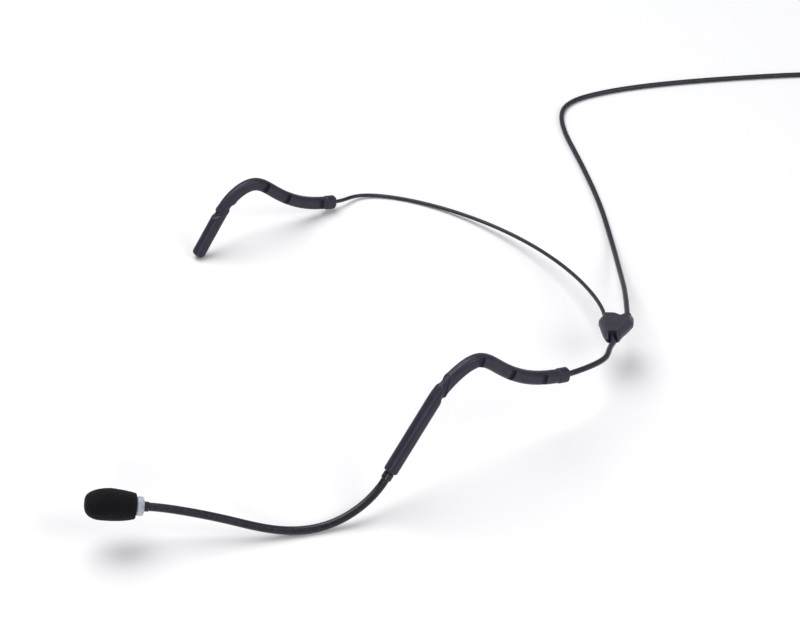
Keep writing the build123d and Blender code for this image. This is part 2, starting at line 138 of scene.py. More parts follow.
# ---- cable, coil and plug, in the row frame ----
CABLE_RADIUS = 0.95
CABLE_ROUTE = [(88.63, 8.54, 13.68), (89.5, 24.5, 10.6), (89.1, 44.9, 5.2), (88.1, 67.0, 1.3),
               (85.2, 93.0, 1.0), (79.6, 119.5, 1.0), (72.5, 147.5, 1.0), (75.2, 162.9, 1.0),
               (93.7, 171.9, 1.0), (121.5, 178.5, 1.0), (161.8, 184.0, 1.0), (184.0, 185.3, 1.1)]
COIL_CENTRE = (201.0, 174.0, 5.3)
COIL_RADIUS = 10.4
TURN_POINTS = 16
TURNS = 15.25
TURN_PITCH = 1.92
TURN_ROWS = [(-2, (1.0, 0.0, -1.0)), (-1, (-1.5, -0.5, 0.5, 1.5)), (0, (2.0, 1.0, 0.0, -1.0)),
             (1, (-0.5, 0.5, 1.5)), (2, (1.0,))]
TAIL_ROUTE = [(213.4, 167.5, 7.3), (212.6, 160.5, 4.95), (212.2, 156.0, 4.7), (212.2, 152.5, 4.7)]
PLUG_BASE = (212.2, 152.5, 4.7)
TIE_RADIUS = 4.85

# ---- camera and lights: place, size across and power ----
CAMERA_PLACE = (0.0095, -0.6358, 0.5218)
CAMERA_TURN = (51.87, -0.28, 0.22)
CAMERA_LENS = 106.1
LIGHTS = {
    "key": ((-0.30, 0.30, 0.95), 0.95, 9.0),
    "front": ((-0.15, -0.95, 0.42), 0.22, 1.8),
    "fill": ((0.75, -0.45, 0.7), 0.6, 3.5),
}
LIGHT_AIM = (0.03, 0.0, 0.0)
FLOOR_HALF_SIDE = 6.0

REST = (Matrix.Translation(Vector(REST_PLACE))
        @ Matrix.Rotation(math.radians(REST_TURN), 4, "Z")
        @ Matrix.Rotation(math.radians(REST_ROLL), 4, "Y")
        @ Matrix.Rotation(math.radians(REST_PITCH), 4, "X"))


def at_rest(points):
    """Points of the wearer's frame, in millimetres, put down in the row frame in metres."""
    turn = np.array(REST.to_3x3())
    return (np.asarray(points, float) @ turn.T + np.array(REST.translation)) * MM


# ---------------------------------------------------------------- camera, floor and light

def make_camera():
    data = bpy.data.cameras.new("camera")
    data.sensor_width = 36.0
    data.lens = CAMERA_LENS
    data.clip_start = 0.01
    camera = bpy.data.objects.new("camera", data)
    camera.location = CAMERA_PLACE
    camera.rotation_euler = [math.radians(angle) for angle in CAMERA_TURN]
    bpy.context.scene.collection.objects.link(camera)
    bpy.context.scene.camera = camera


def area_light(name, place, size, power):
    """Round area light at a place, turned towards LIGHT_AIM."""
    data = bpy.data.lights.new(name, "AREA")
    data.shape = "DISK"
    data.size = size
    data.energy = power
    lamp = bpy.data.objects.new(name, data)
    lamp.location = place
    lamp.rotation_euler = (Vector(LIGHT_AIM) - Vector(place)).to_track_quat("-Z", "Y").to_euler()
    bpy.context.scene.collection.objects.link(lamp)


def make_studio():
    floor_mesh = bpy.data.meshes.new("floor")
    half = FLOOR_HALF_SIDE
    corners = [(-half, -half, 0), (half, -half, 0), (half, half, 0), (-half, half, 0)]
    floor_mesh.from_pydata(corners, [], [(0, 1, 2, 3)])
    floor = bpy.data.objects.new("floor", floor_mesh)
    bpy.context.scene.collection.objects.link(floor)
    material, _, _, shader = new_material("pale_floor")
    shader.inputs["Base Color"].default_value = (0.86, 0.86, 0.865, 1)
    shader.inputs["Roughness"].default_value = 0.7
    floor_mesh.materials.append(material)
    world = bpy.data.worlds.new("studio")
    world.use_nodes = True
    background = world.node_tree.nodes["Background"]
    background.inputs["Color"].default_value = (0.97, 0.98, 1.0, 1)
    background.inputs["Strength"].default_value = 0.36
    bpy.context.scene.world = world
    for name, (place, size, power) in LIGHTS.items():
        area_light(name, place, size, power)
    bpy.context.scene.view_settings.view_transform = "Standard"


# ---------------------------------------------------------------- materials

def new_material(name):
    material = bpy.data.materials.new(name)
    material.use_nodes = True
    tree = material.node_tree
    return material, tree.nodes, tree.links, tree.nodes["Principled BSDF"]


def noise(nodes, links, scale, detail, roughness=0.55):
    place = nodes.new("ShaderNodeTexCoord")
    texture = nodes.new("ShaderNodeTexNoise")
    texture.inputs["Scale"].default_value = scale
    texture.inputs["Detail"].default_value = detail
    texture.inputs["Roughness"].default_value = roughness
    links.new(place.outputs["Object"], texture.inputs["Vector"])
    return texture.outputs["Fac"]


def ramp(nodes, links, value, low, high, first, second):
    """Colour ramp between two colours, or two grey levels, over a range of the value."""
    node = nodes.new("ShaderNodeValToRGB")
    node.color_ramp.elements[0].position = low
    node.color_ramp.elements[1].position = high
    for element, colour in zip(node.color_ramp.elements, (first, second)):
        element.color = (*colour, 1) if len(colour) == 3 else (colour[0],) * 3 + (1,)
    links.new(value, node.inputs["Fac"])
    return node.outputs["Color"]


def bump(nodes, links, shader, height, distance, strength=1.0):
    node = nodes.new("ShaderNodeBump")
    node.inputs["Strength"].default_value = strength
    node.inputs["Distance"].default_value = distance
    links.new(height, node.inputs["Height"])
    links.new(node.outputs["Normal"], shader.inputs["Normal"])


def moulded(name, dark, light, roughness, grain, depth, gloss=0.35):
    """Moulded rubber or plastic: faint mottling, a fine spark-eroded grain and rubbed, shinier patches."""
    material, nodes, links, shader = new_material(name)
    patches = noise(nodes, links, 260.0, 4.0)
    links.new(ramp(nodes, links, patches, 0.3, 0.72, dark, light), shader.inputs["Base Color"])
    rubbed = noise(nodes, links, 620.0, 5.0, 0.65)
    links.new(ramp(nodes, links, rubbed, 0.3, 0.7, (roughness - 0.09,), (roughness + 0.09,)),
              shader.inputs["Roughness"])
    bump(nodes, links, shader, noise(nodes, links, grain, 3.0, 0.7), depth)
    shader.inputs["Specular IOR Level"].default_value = gloss
    return material


def foam_material():
    """Open-cell foam: small cells, darker along their borders than in their middles."""
    material, nodes, links, shader = new_material("open_cell_foam")
    place = nodes.new("ShaderNodeTexCoord")
    cells = nodes.new("ShaderNodeTexVoronoi")
    cells.inputs["Scale"].default_value = 2300.0
    cells.inputs["Randomness"].default_value = 1.0
    links.new(place.outputs["Object"], cells.inputs["Vector"])
    middle = (0.0085, 0.0072, 0.0105)
    border = (0.0022, 0.0018, 0.0028)
    colour = ramp(nodes, links, cells.outputs["Distance"], 0.15, 0.75, middle, border)
    links.new(colour, shader.inputs["Base Color"])
    bump(nodes, links, shader, cells.outputs["Distance"], 0.00012, 0.8)
    shader.inputs["Roughness"].default_value = 0.95
    shader.inputs["Specular IOR Level"].default_value = 0.1
    shader.inputs["Sheen Weight"].default_value = 0.05
    shader.inputs["Sheen Roughness"].default_value = 0.6
    return material


def silicone_material():
    """Clear silicone, a little cloudy and blue."""
    material, nodes, links, shader = new_material("clear_silicone")
    cloud = noise(nodes, links, 420.0, 3.0)
    colour = ramp(nodes, links, cloud, 0.3, 0.7, (0.50, 0.56, 0.70), (0.80, 0.83, 0.92))
    links.new(colour, shader.inputs["Base Color"])
    links.new(ramp(nodes, links, cloud, 0.3, 0.7, (0.22,), (0.36,)), shader.inputs["Roughness"])
    bump(nodes, links, shader, noise(nodes, links, 2500.0, 2.0), 0.00001)
    shader.inputs["Transmission Weight"].default_value = 0.45
    shader.inputs["IOR"].default_value = 1.41
    return material


def metal(name, dark, light, roughness, mark_scale):
    """Plated metal: faint tarnish and fine marks in its finish."""
    material, nodes, links, shader = new_material(name)
    tarnish = noise(nodes, links, 500.0, 4.0)
    links.new(ramp(nodes, links, tarnish, 0.25, 0.75, dark, light), shader.inputs["Base Color"])
    marks = noise(nodes, links, mark_scale, 6.0, 0.7)
    worn = ramp(nodes, links, marks, 0.3, 0.7, (roughness - 0.07,), (roughness + 0.07,))
    links.new(worn, shader.inputs["Roughness"])
    bump(nodes, links, shader, marks, 0.000004)
    shader.inputs["Metallic"].default_value = 1.0
    return material


def strap_material():
    """Woven strap: fine bands along its length."""
    material, nodes, links, shader = new_material("woven_strap")
    place = nodes.new("ShaderNodeTexCoord")
    weave = nodes.new("ShaderNodeTexWave")
    weave.wave_type = "BANDS"
    weave.bands_direction = "X"
    weave.inputs["Scale"].default_value = 900.0
    weave.inputs["Distortion"].default_value = 1.2
    links.new(place.outputs["Object"], weave.inputs["Vector"])
    links.new(ramp(nodes, links, weave.outputs["Fac"], 0.2, 0.8, (0.010, 0.010, 0.012), (0.035, 0.034, 0.04)),
              shader.inputs["Base Color"])
    bump(nodes, links, shader, weave.outputs["Fac"], 0.00005)
    shader.inputs["Roughness"].default_value = 0.85
    shader.inputs["Sheen Weight"].default_value = 0.3
    return material


def make_materials():
    return {
        "ear": moulded("ear_rubber", (0.015, 0.012, 0.025), (0.025, 0.020, 0.040), 0.42, 2600.0, 0.00003),
        "case": moulded("case_plastic", (0.020, 0.017, 0.030), (0.031, 0.027, 0.046), 0.40, 3200.0, 0.00002),
        "wire": moulded("wire_jacket", (0.016, 0.014, 0.025), (0.026, 0.023, 0.039), 0.30, 1800.0, 0.00001),
        "boom": moulded("boom_jacket", (0.010, 0.009, 0.017), (0.016, 0.015, 0.027), 0.26, 2200.0, 0.00001),
        "cable": moulded("cable_jacket", (0.015, 0.014, 0.023), (0.024, 0.022, 0.036), 0.36, 1500.0, 0.00001),
        "sleeve": moulded("sleeve_plastic", (0.012, 0.011, 0.018), (0.019, 0.018, 0.028), 0.28,
                          2800.0, 0.00001),
        "boot": moulded("boot_rubber", (0.014, 0.013, 0.016), (0.024, 0.023, 0.027), 0.50, 2400.0, 0.00002),
        "foam": foam_material(),
        "silicone": silicone_material(),
        "steel": metal("spring_steel", (0.42, 0.42, 0.44), (0.56, 0.56, 0.58), 0.30, 3000.0),
        "nickel": metal("plated_nickel", (0.60, 0.57, 0.53), (0.72, 0.69, 0.64), 0.24, 4200.0),
        "black_metal": metal("black_chrome", (0.045, 0.045, 0.05), (0.07, 0.07, 0.078), 0.30, 4200.0),
        "gold": metal("plated_gold", (0.78, 0.56, 0.24), (0.90, 0.68, 0.32), 0.20, 4200.0),
        "insulator": moulded("contact_insulator", (0.012, 0.012, 0.013), (0.02, 0.02, 0.022), 0.4,
                             2000.0, 0.000005),
        "strap": strap_material(),
    }


# ---------------------------------------------------------------- curves and meshes

def clamped_spline(points, start, end, count):
    """Points along the smooth curve through the given ones, with given first and last directions."""
    points = np.asarray(points, float)
    steps = np.linalg.norm(np.diff(points, axis=0), axis=1)
    knots = np.concatenate([[0], np.cumsum(steps)])
    size = len(points)
    matrix = np.eye(size)
    right = np.zeros_like(points)
    right[0] = start
    right[-1] = end
    for i in range(1, size - 1):
        before = steps[i - 1]
        after = steps[i]
        matrix[i, i - 1:i + 2] = (after, 2 * (before + after), before)
        right[i] = 3 * (after * (points[i] - points[i - 1]) / before
                        + before * (points[i + 1] - points[i]) / after)
    slopes = np.linalg.solve(matrix, right)
    at = np.linspace(0, knots[-1], 40 * size)
    index = np.clip(np.searchsorted(knots, at, side="right") - 1, 0, size - 2)
    h = steps[index][:, None]
    t = ((at - knots[index]) / steps[index])[:, None]
    line = ((1 + 2 * t) * (1 - t) ** 2 * points[index] + t * (1 - t) ** 2 * h * slopes[index]
            + t * t * (3 - 2 * t) * points[index + 1] + t * t * (t - 1) * h * slopes[index + 1])
    return evenly(line, count)


def evenly(line, count):
    """The line again with that many points, evenly spaced along it."""
    along = np.concatenate([[0], np.cumsum(np.linalg.norm(np.diff(line, axis=0), axis=1))])
    at = np.linspace(0, along[-1], count)
    return np.stack([np.interp(at, along, line[:, k]) for k in range(line.shape[1])], axis=1)


def bezier(points, count):
    """Points along the Bezier curve of these control points."""
    points = np.asarray(points, float)
    last = len(points) - 1
    t = np.linspace(0, 1, 600)[:, None]
    line = sum(math.comb(last, k) * t ** k * (1 - t) ** (last - k) * points[k] for k in range(last + 1))
    return evenly(line, count)


def tangents(line):
    d = np.gradient(line, axis=0)
    return d / np.linalg.norm(d, axis=1)[:, None]


def section_axes(line, first_side):
    """Side and up directions across a line, carried along it without twist."""
    along = tangents(line)
    side = np.asarray(first_side, float)
    sides = []
    for t in along:
        side = side - t * (side @ t)
        side = side / np.linalg.norm(side)
        sides.append(side)
    sides = np.array(sides)
    return sides, np.cross(along, sides)


def smoothstep(value, low, high):
    t = np.clip((np.asarray(value, float) - low) / (high - low), 0, 1)
    return t * t * (3 - 2 * t)


def mesh_object(name, points, faces):
    """Smooth-shaded mesh object with its normals outwards; points are already in the row frame."""
    mesh = bpy.data.meshes.new(name)
    mesh.from_pydata([tuple(p) for p in points], [], faces)
    work = bmesh.new()
    work.from_mesh(mesh)
    bmesh.ops.recalc_face_normals(work, faces=work.faces)
    work.to_mesh(mesh)
    work.free()
    mesh.polygons.foreach_set("use_smooth", [True] * len(mesh.polygons))
    mesh.update()
    thing = bpy.data.objects.new(name, mesh)
    bpy.context.scene.collection.objects.link(thing)
    return thing


def ring_faces(rows, columns):
    """Quads between each ring of points and the next."""
    faces = []
    for k in range(rows - 1):
        low = k * columns
        for j in range(columns):
            nxt = (j + 1) % columns
            faces.append((low + j, low + nxt, low + columns + nxt, low + columns + j))
    return faces


def skin(name, rings):
    """Mesh object through rings of points (rows x columns x 3), with fans over both ends."""
    rings = np.asarray(rings, float)
    rows, columns = rings.shape[:2]
    points = list(rings.reshape(-1, 3))
    faces = ring_faces(rows, columns)
    for row in (0, rows - 1):
        points.append(rings[row].mean(axis=0))
        centre = len(points) - 1
        faces += [(row * columns + j, row * columns + (j + 1) % columns, centre) for j in range(columns)]
    return mesh_object(name, points, faces)


def circle(columns):
    angles = np.linspace(0, 2 * math.pi, columns, endpoint=False)
    return np.stack([np.cos(angles), np.sin(angles)], axis=1)


def tube(name, line, radii, columns=32, first_side=(0, 0, 1), place=at_rest):
    """Round tube along a line; radii has one radius for each of the line's points."""
    sides, ups = section_axes(line, first_side)
    round_ = circle(columns)
    rings = (line[:, None] + radii[:, None, None] * (round_[None, :, :1] * sides[:, None]
                                                    + round_[None, :, 1:] * ups[:, None]))
    return skin(name, place(rings))


def rounded_rectangle(half_width, half_height, corner, columns):
    """Evenly spaced points round a rounded rectangle, from the middle of its right side."""
    arc = np.linspace(0, math.pi / 2, 16)
    outline = []
    for sx, sy, turn in ((1, 1, 0), (-1, 1, 1), (-1, -1, 2), (1, -1, 3)):
        cx = sx * (half_width - corner)
        cy = sy * (half_height - corner)
        for a in arc + turn * math.pi / 2:
            outline.append((cx + corner * math.cos(a), cy + corner * math.sin(a)))
    outline = np.array([(half_width, 0.0)] + outline + [(half_width, 0.0)])
    return evenly(outline, columns + 1)[:-1]


def lathe(name, outline, origin, axis, columns=64, place=at_rest):
    """Solid of revolution from (radius, height) corners, closed by a fan over each end."""
    outline = np.asarray(outline, float)
    axis = np.asarray(axis, float) / np.linalg.norm(axis)
    side = np.cross(axis, (0.3, 0.5, 1.0))
    side = side / np.linalg.norm(side)
    up = np.cross(axis, side)
    round_ = circle(columns)
    rings = (np.asarray(origin, float) + outline[:, None, 1:] * axis
             + outline[:, None, :1] * (round_[None, :, :1] * side + round_[None, :, 1:] * up))
    return skin(name, place(rings))


def finish_piece(thing, material, body, slot, *nodes):
    """Gives a new piece its material and its body and hides the CAD nodes that it stands for; the slot is not
    used.
    """
    thing.data.materials.append(material)
    if body:
        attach(thing, body)
    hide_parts(*nodes)
    return thing


# ---------------------------------------------------------------- cable

def cable_points():
    """Control points of the whole cord, in the row frame: the route, the coil's turns and the tail."""
    points = list(CABLE_ROUTE)
    row_rise = TURN_PITCH * math.sqrt(0.75)
    sites = [(out * TURN_PITCH, row * row_rise) for row, outs in TURN_ROWS for out in outs]
    reach = 1 / math.cos(math.pi / TURN_POINTS)
    steps = int(TURNS * TURN_POINTS)
    for k in range(steps + 1):
        turn = k / TURN_POINTS
        angle = math.pi / 2 - 2 * math.pi * turn
        now = min(int(turn), len(sites) - 1)
        later = min(now + 1, len(sites) - 1)
        share = float(smoothstep(turn - now, 0.55, 1.0))
        out = sites[now][0] * (1 - share) + sites[later][0] * share
        rise = sites[now][1] * (1 - share) + sites[later][1] * share
        radius = (COIL_RADIUS + out) * reach
        x = COIL_CENTRE[0] + radius * math.cos(angle)
        y = COIL_CENTRE[1] + radius * math.sin(angle)
        points.append((x, y, COIL_CENTRE[2] + rise))
    return points + TAIL_ROUTE


def make_cable(material):
    data = bpy.data.curves.new("cable_line", "CURVE")
    data.dimensions = "3D"
    spline = data.splines.new("NURBS")
    points = cable_points()
    spline.points.add(len(points) - 1)
    for point, (x, y, z) in zip(spline.points, points):
        point.co = (x * MM, y * MM, z * MM, 1)
    spline.order_u = 3
    spline.use_endpoint_u = True
    spline.resolution_u = 8
    data.bevel_depth = CABLE_RADIUS * MM
    data.bevel_resolution = 6
    data.use_fill_caps = True
    data.materials.append(material)
    cord = bpy.data.objects.new("cable_line", data)
    bpy.context.scene.collection.objects.link(cord)
    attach(cord, "junction")
    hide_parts("cable", "cable_coil", "cable_tail")
    return cord


# ---------------------------------------------------------------- ear hooks

def hook_line(front, direction):
    """Centreline of an ear hook as (y, z), rear end first."""
    return clamped_spline(HOOK_POINTS + [front], (-1, 0.05), direction, 900)


def hook_frame(line, direction, at):
    """Place and up direction (y, z) at distances along the hook, straight beyond its end."""
    along = np.concatenate([[0], np.cumsum(np.linalg.norm(np.diff(line, axis=0), axis=1))])
    heading = tangents(line)
    beyond = np.maximum(at - along[-1], 0)[..., None]
    place = np.stack([np.interp(at, along, line[:, k]) for k in range(2)], axis=-1)
    place = place + beyond * np.array(direction)
    head = np.stack([np.interp(at, along, heading[:, k]) for k in range(2)], axis=-1)
    up = np.stack([head[..., 1], -head[..., 0]], axis=-1)
    return place, up


def hook_rings(side, front, direction, at, offsets):
    """Rings (rows x columns x 3) from distances along the hook and offsets (across, up)."""
    line = hook_line(front, direction)
    place, up = hook_frame(line, direction, at)
    y = place[..., 0] + offsets[..., 1] * up[..., 0]
    z = place[..., 1] + offsets[..., 1] * up[..., 1]
    x = side * HOOK_HALF_SPACING + offsets[..., 0]
    return np.stack([x, y, z], axis=-1)


def hook_length(front, direction):
    line = hook_line(front, direction)
    return float(np.linalg.norm(np.diff(line, axis=0), axis=1).sum())


def step_distance(length, profile, offset, slope):
    """Distance along the hook at which each column of the section meets the slanted step."""
    return length + offset + slope * profile[:, 1]


def window_share(at, centre, width, up, across):
    """How far each point of the grip lies inside a window: 1 inside it, 0 outside, soft at its edges."""
    soft = 0.12
    low = centre - width / 2
    high = centre + width / 2
    inside = smoothstep(at, low - soft, low + soft) * (1 - smoothstep(at, high - soft, high + soft))
    return inside * (1 - smoothstep(up, 1.5, 1.75)) * (np.abs(across) > 0.3)


def make_ear_grip(name, side, front, direction, rear, offset, slope, windows, material, body, node):
    """Rubber grip: bump at its rear end, windows in both flanks, a lip at the slanted step."""
    columns = 88
    rows = 520
    profile = rounded_rectangle(HOOK_WIDTH / 2, HOOK_HEIGHT / 2, GRIP_CORNER, columns)
    unit = profile / np.linalg.norm(profile, axis=1)[:, None]
    length = hook_length(front, direction)
    end = step_distance(length, profile, offset, slope)
    share = np.linspace(0, 1, rows)[:, None]
    at = rear + share * (end[None, :] - rear)
    to_end = end[None, :] - at
    bump_size = 0.22 * (1 - smoothstep(at - rear, 4.0, 4.7))
    nose = -0.85 * (1 - np.clip((at - rear) / 0.9, 0, 1)) ** 1.6
    lip = 0.10 * smoothstep(to_end, 1.6, 0.6) - 0.38 * (1 - np.clip(to_end / 0.38, 0, 1)) ** 2
    offsets = profile[None] + unit[None] * (bump_size + nose + lip)[..., None]
    line = hook_line(front, direction)
    along = np.linspace(0, length, len(line))
    for place, width in windows:
        centre = along[np.abs(line[:, 0] - place).argmin()]
        inside = window_share(at, centre, width, profile[None, :, 1], profile[None, :, 0])
        limit = np.where(inside > 0, WINDOW_RIM - (WINDOW_RIM - WINDOW_FLOOR) * inside, 9.0)
        offsets[..., 0] = np.sign(offsets[..., 0]) * np.minimum(np.abs(offsets[..., 0]), limit)
    thing = skin(name, at_rest(hook_rings(side, front, direction, at, offsets)))
    return finish_piece(thing, material, body, node, node)


def make_front_sleeve(name, side, front, direction, offset, slope, reach, end_round, material, body, node):
    """Rubber sleeve in front of the slanted step: waisted at the step, full further on, round-ended."""
    columns = 88
    rows = 200
    profile = rounded_rectangle(1, 1, 0.8, columns)
    slim = rounded_rectangle(WAIST_WIDTH / 2, WAIST_HEIGHT / 2, WAIST_CORNER, columns)
    full = rounded_rectangle(SLEEVE_WIDTH / 2, SLEEVE_HEIGHT / 2, SLEEVE_CORNER, columns)
    length = hook_length(front, direction)
    start = step_distance(length, slim, offset, slope) - SLEEVE_TUCK
    last = length + reach
    share = np.linspace(0, 1, rows)[:, None]
    at = start[None, :] + share * (last - start[None, :])
    swell = smoothstep(at - start[None, :], 3.0, 4.4)[..., None]
    offsets = slim[None] * (1 - swell) + full[None] * swell
    left = np.clip((last - at) / end_round, 0, 1)
    shrink = end_round * (1 - np.sqrt(1 - (1 - left) ** 2))
    unit = profile / np.linalg.norm(profile, axis=1)[:, None]
    offsets = offsets - unit[None] * shrink[..., None]
    thing = skin(name, at_rest(hook_rings(side, front, direction, at, offsets)))
    return finish_piece(thing, material, body, node, node)


def make_hooks(mats):
    rubber = mats["ear"]
    left = (1, LEFT_FRONT, LEFT_FRONT_DIRECTION)
    right = (-1, RIGHT_FRONT, RIGHT_FRONT_DIRECTION)
    make_ear_grip("left_ear_rubber", *left, 0.0, LEFT_STEP, -STEP_SLOPE, LEFT_WINDOWS,
                  rubber, "left_arm", "left_ear_grip")
    make_ear_grip("right_ear_rubber", *right, RIGHT_GRIP_START, RIGHT_STEP, STEP_SLOPE, RIGHT_WINDOWS,
                  rubber, "right_arm", "right_ear_grip")
    make_front_sleeve("left_holder_rubber", *left, LEFT_STEP, -STEP_SLOPE, HOLDER_LENGTH,
                      HOLDER_END_ROUND, rubber, "left_arm", "left_boom_holder")
    make_front_sleeve("right_tip_rubber", *right, RIGHT_STEP, STEP_SLOPE, RIGHT_SLEEVE_LENGTH,
                      SLEEVE_END_ROUND, rubber, "right_arm", "right_tip_sleeve")


# ---------------------------------------------------------------- neckband

def junction_point(x, y, z=0.0):
    """Place in the wearer's frame of a point in the junction's own frame."""
    turn = math.radians(JUNCTION_TURN)
    return np.array([JUNCTION_MOUTH[0] + x * math.cos(turn) - y * math.sin(turn),
                     JUNCTION_MOUTH[1] + x * math.sin(turn) + y * math.cos(turn), NECK_Z + z])


def neck_line(points, hinge, inside):
    """One half of the neckband, from inside its ear grip to inside the junction."""
    control = [(x, y, NECK_Z) for x, y in points] + [tuple(hinge)]
    line = bezier(control, 420)
    before = line[0] - np.array([0, 1, 0]) * np.linspace(4.0, 0.3, 9)[:, None]
    heading = (inside - hinge) / np.linalg.norm(inside - hinge)
    reach = np.linalg.norm(inside - hinge)
    after = hinge + heading * np.linspace(0.4, reach, 16)[:, None]
    return np.concatenate([before, line, after])


def make_neckband(mats):
    hinge = junction_point(LEFT_HINGE, 0)
    left = neck_line(LEFT_NECK_POINTS, hinge, junction_point(LEFT_WIRE_INSIDE, 0))
    band = tube("left_neck_wire", left, np.full(len(left), LEFT_NECK_RADIUS), 28)
    finish_piece(band, mats["wire"], None, "left_neck_jacket", "left_neck_jacket", "left_wire_ferrule")
    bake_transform(band)
    hinge = junction_point(RIGHT_HINGE, FAR_PORT)
    inside = junction_point(PORT_END - RIGHT_WIRE_INSIDE, FAR_PORT)
    right = neck_line(RIGHT_NECK_POINTS, hinge, inside)
    band = tube("right_neck_wire", right, np.full(len(right), RIGHT_NECK_RADIUS), 24)
    finish_piece(band, mats["wire"], None, "right_neck_jacket", "right_neck_jacket", "right_wire_ferrule")
    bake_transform(band)


# ---------------------------------------------------------------- boom

def boom_line(count):
    """Centreline of the boom beyond its collar, rear end first."""
    along = HOLDER_LENGTH + COLLAR_FRONT
    start = np.array([HOOK_HALF_SPACING, LEFT_FRONT[0] + along * LEFT_FRONT_DIRECTION[0],
                      LEFT_FRONT[1] + along * LEFT_FRONT_DIRECTION[1]])
    points = [start] + BOOM_POINTS + [BOOM_END]
    return clamped_spline(points, (0, *LEFT_FRONT_DIRECTION), MIC_DIRECTION, count)


def ribbed_tube(name, line, first, length):
    """Stretch of the boom's jacket with its fine ribs, which run on from stretch to stretch."""
    at = first + np.linspace(0, length, len(line))
    ribs = np.abs(np.sin(math.pi * at / RIB_PITCH)) ** 1.6
    return tube(name, line, BOOM_RADIUS - RIB_HEIGHT + RIB_HEIGHT * ribs, 28, (1, 0, 0))


def make_boom(mats):
    """Two ribbed pieces that meet midway between the bends."""
    steps = 1500
    whole = boom_line(steps + 1)
    length = float(np.linalg.norm(np.diff(whole, axis=0), axis=1).sum())
    split = int(steps * (BEND_1 + BEND_2) / 2)
    rear = ribbed_tube("boom_rear", whole[:split + 1], 0.0, length * split / steps)
    finish_piece(rear, mats["boom"], None, "boom_jacket_1", "boom_jacket_1", "boom_jacket_2")
    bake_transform(rear)
    front = ribbed_tube("boom_front_tube", whole[split:], length * split / steps,
                        length * (steps - split) / steps)
    finish_piece(front, mats["boom"], None, "boom_jacket_3", "boom_jacket_3")
    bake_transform(front)


# ---------------------------------------------------------------- microphone head

def foam_outline():
    """Half section of the windscreen as (radius, height): nose, flank, rolled rear edge and bore."""
    low = TAIL_LENGTH - FOAM_TUCK
    high = low + FOAM_LENGTH
    end = TAIL_LENGTH + CAPSULE_END
    flank = [(0, high), (2.9, high - 0.5), (4.6, high - 2.4), (5.2, low + 10.4), (4.85, low + 5.2),
             (4.1, low + 0.55)]
    outside = clamped_spline(flank, (1, 0), (-0.25, -1), 190)
    edge = np.array([(3.98, low + 0.25), (3.8, low + 0.06), (3.5, low), (3.0, low), (2.75, low + 0.05)])
    inside = evenly(np.array([(FOAM_BORE, low + 0.3), (FOAM_BORE, end), (0.0, end)]), 60)
    return np.concatenate([outside[1:], edge, inside[:-1]])


def pressed_shape(co, outward, ahead, outside):
    """Foam out of true: its nose slopes away on top and its rear sags a little below."""
    rise = outward[:, 2] / np.maximum(np.linalg.norm(outward, axis=1), 1e-6)
    squeeze = 0.26 * smoothstep(ahead, 6.5, 15.0) * np.clip(rise, 0, 1)
    sag = 0.07 * (1 - smoothstep(ahead, 3.0, 10.0)) * np.clip(-rise, 0, 1)
    return co + outward * (outside * (sag - squeeze))[:, None]


def open_cells(co, normal, outside):
    """Open cells in the outside only: pits where waves of many lengths and directions add up."""
    count = 40
    rng = np.random.default_rng(7)
    waves = rng.normal(size=(count, 3))
    waves = waves / np.linalg.norm(waves, axis=1)[:, None] * rng.uniform(2600, 9000, (count, 1))
    phase = rng.uniform(0, 2 * math.pi, count)
    pits = np.cos(co @ waves.T + phase).sum(axis=1) / math.sqrt(count / 2)
    height = (-0.055 * np.clip(pits, -0.2, 2.0) + 0.02) * MM
    return co + normal * (height * outside)[:, None]


def make_foam(material):
    """Foam windscreen, open at the back to go over the capsule."""
    thing = lathe("foam_cover", foam_outline(), BOOM_END, MIC_DIRECTION, columns=176)
    thing.data.materials.append(material)
    mesh = thing.data
    co = np.zeros(len(mesh.vertices) * 3)
    mesh.vertices.foreach_get("co", co)
    co = co.reshape(-1, 3)
    normal = np.zeros(co.size)
    mesh.vertex_normals.foreach_get("vector", normal)
    normal = normal.reshape(-1, 3)
    axis_start = at_rest(np.array(BOOM_END))
    axis = at_rest(np.array(BOOM_END) + np.array(MIC_DIRECTION)) - axis_start
    axis = axis / np.linalg.norm(axis)
    along = (co - axis_start) @ axis
    outward = co - axis_start - along[:, None] * axis
    outside = ((outward * normal).sum(axis=1) > -1e-6) & (np.linalg.norm(outward, axis=1) > 0)
    co = pressed_shape(co, outward, along / MM - TAIL_LENGTH, outside)
    co = open_cells(co, normal, outside)
    mesh.vertices.foreach_set("co", co.ravel())
    mesh.update()
    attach(thing, "windscreen")
    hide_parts("foam_windscreen")


def make_ring(material):
    """Clear silicone ring pushed up against the back of the windscreen."""
    low = TAIL_LENGTH - RING_REAR
    high = TAIL_LENGTH - RING_FRONT
    reach = RING_RADIUS - RING_CORNER
    angles = np.linspace(-0.5 * math.pi, 0.5 * math.pi, 15)
    corner = [(reach + RING_CORNER * math.cos(a), RING_CORNER * math.sin(a)) for a in angles]
    outline = [(RING_BORE, low), (2.0, low)]
    outline += [(r, low + RING_CORNER + z) for r, z in corner[:8]]
    outline += [(r, high - RING_CORNER + z) for r, z in corner[7:]]
    outline += [(2.0, high), (RING_BORE, high)]
    thing = lathe("silicone_ring", outline, BOOM_END, MIC_DIRECTION, columns=72)
    finish_piece(thing, material, "boom_front", "drip_ring", "drip_ring")


# ---------------------------------------------------------------- junction

